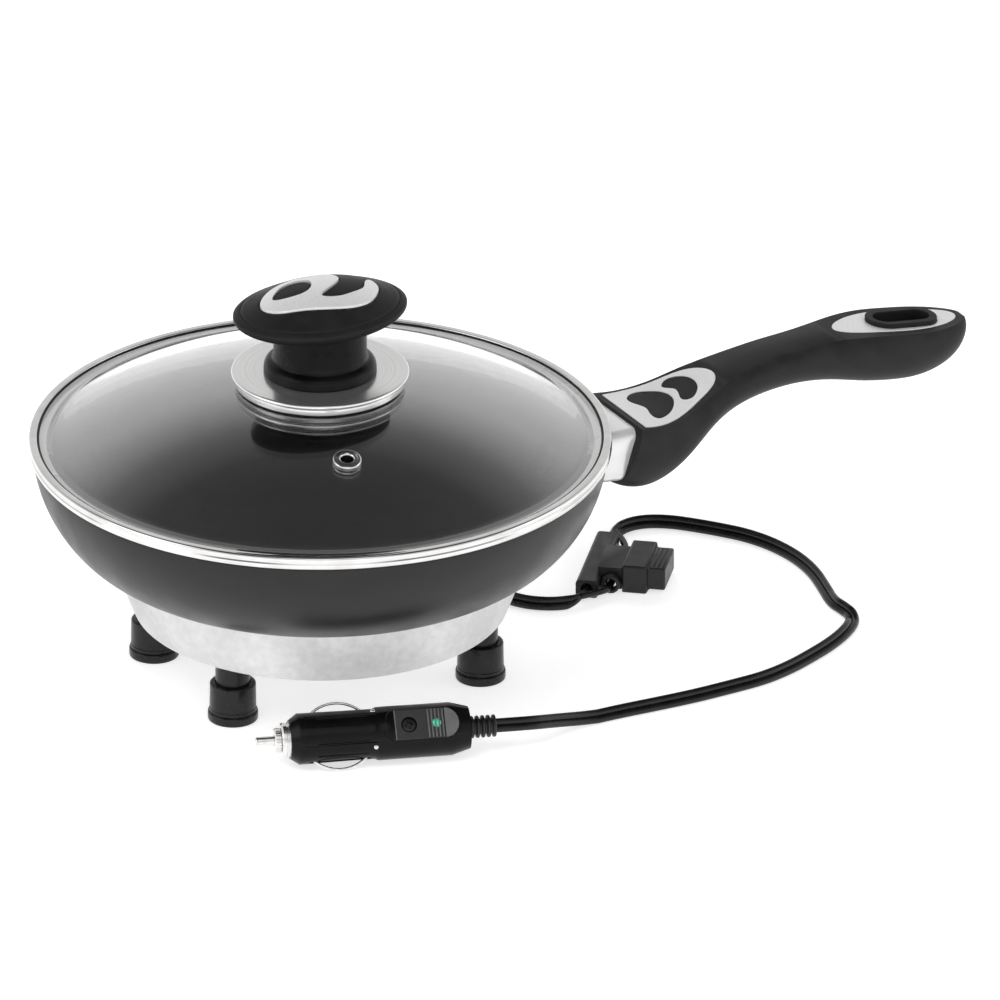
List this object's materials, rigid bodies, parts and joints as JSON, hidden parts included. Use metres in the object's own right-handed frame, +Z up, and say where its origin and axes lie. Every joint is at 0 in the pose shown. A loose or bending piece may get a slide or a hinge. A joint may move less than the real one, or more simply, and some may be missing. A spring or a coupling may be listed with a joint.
{
  "type": "electric skillet",
  "caption": "Round electric skillet on a heated base with rubber feet, lift-off glass lid and knob, long hanging handle, and a short lead with fuse holder and car plug.",
  "frame": {"origin": "on the table under the middle of the round pan, in the plane of the rubber feet", "axes": "+X along the handle, +Z up out of the pan"},
  "size_m": [0.3822, 0.2162, 0.1526],
  "materials": {
    "pan_coating": "satin dark coating on cast aluminium",
    "base_aluminium": "blasted satin",
    "cover_steel": "plain pressed sheet",
    "bright_steel": "polished",
    "screw_steel": "zinc-plated",
    "mica": "pressed mica sheet",
    "heater_ribbon": "heat-darkened resistance ribbon",
    "thermostat_case": "plain",
    "terminal_ceramic": "glazed ceramic",
    "wire_insulation": "glass-braid sleeve",
    "foot_rubber": "matte",
    "lid_glass": "clear tempered",
    "grip_black": "fine satin phenolic",
    "silver_inlay": "satin silver",
    "holder_black": "moulded",
    "blade_fuse_amber": "clear tinted",
    "plug_black": "glossy moulded",
    "relief_rubber": "moulded ribs",
    "lead_black": "smooth sheath",
    "contact_brass": "nickel-plated",
    "fuse_glass": "glass tube with metal caps",
    "led_green": "clear green lens"
  },
  "bodies": {
    "skillet": {"pan": "pan_coating", "pan_studs": "cover_steel", "heater_base": "base_aluminium", "cord_grommet": "foot_rubber", "bottom_cover": "cover_steel", "cover_screws": "screw_steel", "base_screws": "screw_steel", "mica_sheets": "mica", "heating_element": "heater_ribbon", "clamp_plate": "cover_steel", "clamp_nut": "screw_steel", "thermostat": "thermostat_case", "thermostat_screws": "screw_steel", "terminal_block": "terminal_ceramic", "inner_leads": "wire_insulation", "foot_post_1": "foot_rubber", "foot_post_2": "foot_rubber", "foot_post_3": "foot_rubber", "foot_post_4": "foot_rubber", "foot_boot_1": "foot_rubber", "foot_boot_2": "foot_rubber", "foot_boot_3": "foot_rubber", "foot_boot_4": "foot_rubber", "foot_screws": "screw_steel", "handle_grip": "grip_black", "handle_front_inlay": "silver_inlay", "handle_tail_inlay": "silver_inlay", "hang_eyelet": "grip_black", "handle_bracket": "cover_steel", "bracket_rivets": "screw_steel", "ferrule": "bright_steel", "handle_screw": "screw_steel", "fuse_holder_body": "holder_black", "blade_fuse": "blade_fuse_amber", "fuse_tether": "holder_black", "plug_shell_upper": "plug_black", "plug_shell_lower": "plug_black", "plug_screw": "screw_steel", "plug_led": "led_green", "plug_flange": "contact_brass", "plug_fuse": "fuse_glass", "pin_spring": "screw_steel", "strain_relief": "relief_rubber", "cord_inner": "lead_black", "cord_main": "lead_black", "bypass_lead": "lead_black"},
    "lid": {"lid_glass": "lid_glass", "lid_rim_band": "bright_steel", "vent_eyelet": "bright_steel", "knob_skirt": "bright_steel", "knob_stem": "grip_black", "knob_cap": "grip_black", "knob_inlay": "silver_inlay", "knob_screw": "screw_steel", "knob_washer": "foot_rubber"},
    "fuse_cap": {"fuse_holder_cap": "holder_black"},
    "center_contact": {"plug_pin": "contact_brass"},
    "screw_ring": {"nose_ring": "contact_brass"},
    "contact_back": {"side_contact_back": "contact_brass"},
    "contact_front": {"side_contact_front": "contact_brass"}
  },
  "joints": [
    {"name": "lid_lift", "type": "slide", "parent": "skillet", "child": "lid", "axis": [0, 0, 1], "range_m": [0, 0.12]},
    {"name": "center_contact_press", "type": "slide", "parent": "skillet", "child": "center_contact", "axis": [0.9373, -0.3486, 0], "range_m": [0, 0.0035], "stiffness_N_per_m": 1200, "springref_m": -0.003, "deforming": ["pin_spring"]},
    {"name": "screw_ring_turn", "type": "hinge", "parent": "skillet", "child": "screw_ring", "pos_m": [-0.06037, -0.07471, 0.01055], "axis": [0.9373, -0.3486, 0], "range_deg": [0, 360]},
    {"name": "contact_back_press", "type": "slide", "parent": "skillet", "child": "contact_back", "axis": [-0.2287, -0.6149, -0.7547], "range_m": [0, 0.0026], "stiffness_N_per_m": 700, "springref_m": -0.001},
    {"name": "contact_front_press", "type": "slide", "parent": "skillet", "child": "contact_front", "axis": [0.2287, 0.6149, 0.7547], "range_m": [0, 0.0026], "stiffness_N_per_m": 700, "springref_m": -0.001},
    {"name": "fuse_cap_pull", "type": "slide", "parent": "skillet", "child": "fuse_cap", "axis": [0.766, -0.6428, 0], "range_m": [0, 0.02]}
  ]
}
